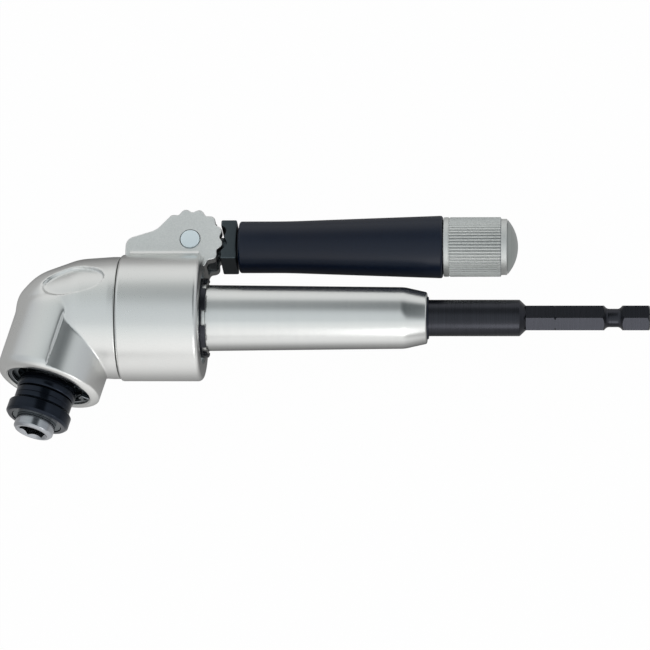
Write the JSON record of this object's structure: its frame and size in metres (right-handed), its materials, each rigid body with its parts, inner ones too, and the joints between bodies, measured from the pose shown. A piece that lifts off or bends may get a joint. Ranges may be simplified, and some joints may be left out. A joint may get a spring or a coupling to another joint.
{
  "type": "right angle attachment",
  "caption": "Right angle drill attachment: hex shank and barrel, bevel gear head at 105 degrees, quick-release bit socket, swivelling collar with a folding, locking side handle.",
  "frame": {"origin": "centre of the hex shank's end face, on the barrel's axis", "axes": "+X along the barrel towards the driver, +Y towards the folded side handle, +Z normal to the plane of both shafts"},
  "size_m": [0.1677, 0.0615, 0.0326],
  "materials": {
    "cast_nickel": "satin",
    "satin_aluminium": "turned",
    "knurled_aluminium": "knurled",
    "cap_aluminium": "satin",
    "black_oxide": "black oxide",
    "black_steel": "blackened",
    "bright_steel": "polished",
    "zinc_steel": "zinc plated",
    "gear_steel": "ground",
    "black_plastic": "satin"
  },
  "bodies": {
    "housing": {"gear_housing": "cast_nickel", "barrel_tube": "satin_aluminium", "rear_bush": "black_plastic", "thrust_washer": "bright_steel", "ring_nut": "black_steel", "output_bearing_outer": "bright_steel", "mouth_circlip": "black_steel", "input_bearing_outer": "bright_steel"},
    "input": {"input_shaft": "black_oxide", "input_pinion": "gear_steel", "pinion_pin": "bright_steel", "input_bearing_inner": "bright_steel", "input_spacer": "gear_steel"},
    "input_balls": {"input_ball_cage": "bright_steel"},
    "output": {"output_spindle": "bright_steel", "output_gear": "gear_steel", "gear_key": "gear_steel", "gear_clip": "black_steel", "output_bearing_inner": "bright_steel", "socket_magnet": "bright_steel", "detent_ball": "bright_steel", "spindle_ring": "black_steel", "sleeve_stop_ring": "black_steel", "sleeve_spring": "bright_steel"},
    "output_balls": {"output_ball_cage": "bright_steel"},
    "sleeve": {"release_sleeve": "black_steel"},
    "collar": {"swivel_collar": "cast_nickel", "pivot_pin": "zinc_steel", "pin_clip": "black_steel"},
    "handle": {"handle_rod": "black_steel"},
    "lock": {"lock_block": "black_steel", "grip": "black_plastic", "grip_washer": "bright_steel"},
    "knob": {"knurled_knob": "knurled_aluminium", "knob_cap": "cap_aluminium"}
  },
  "joints": [
    {"name": "input_spin", "type": "hinge", "parent": "housing", "child": "input", "pos_m": [-0.05, 0, 0], "axis": [1, 0, 0], "continuous": true},
    {"name": "output_spin", "type": "hinge", "parent": "housing", "child": "output", "pos_m": [-0.1495, 0, 0], "axis": [-0.2588, -0.9659, 0], "continuous": true},
    {"name": "input_cage_spin", "type": "hinge", "parent": "housing", "child": "input_balls", "pos_m": [-0.1315, 0, 0], "axis": [1, 0, 0], "continuous": true},
    {"name": "output_cage_spin", "type": "hinge", "parent": "housing", "child": "output_balls", "pos_m": [-0.1495, 0, 0], "axis": [-0.2588, -0.9659, 0], "continuous": true},
    {"name": "sleeve_release", "type": "slide", "parent": "output", "child": "sleeve", "axis": [-0.2588, -0.9659, 0], "range_m": [0, 0.002], "stiffness_N_per_m": 1200, "springref_m": -0.0015, "deforming": ["sleeve_spring"]},
    {"name": "collar_swivel", "type": "hinge", "parent": "housing", "child": "collar", "pos_m": [-0.1258, 0, 0], "axis": [1, 0, 0], "continuous": true},
    {"name": "handle_fold", "type": "hinge", "parent": "collar", "child": "handle", "pos_m": [-0.119, 0.02, 0], "axis": [0, 0, 1], "range_deg": [0, 83.08]},
    {"name": "lock_slide", "type": "slide", "parent": "handle", "child": "lock", "axis": [-1, 0, 0], "range_m": [0, 0.00096]},
    {"name": "knob_turn", "type": "hinge", "parent": "lock", "child": "knob", "pos_m": [-0.045, 0.02, 0], "axis": [-1, 0, 0], "range_deg": [0, 432]}
  ],
  "couplings": [
    {"joint": "output_spin", "follows": "input_spin", "ratio": -1},
    {"joint": "input_cage_spin", "follows": "input_spin", "ratio": 0.41667},
    {"joint": "output_cage_spin", "follows": "input_spin", "ratio": -0.37333},
    {"joint": "knob_turn", "follows": "lock_slide", "rad_per_m": 7854}
  ]
}
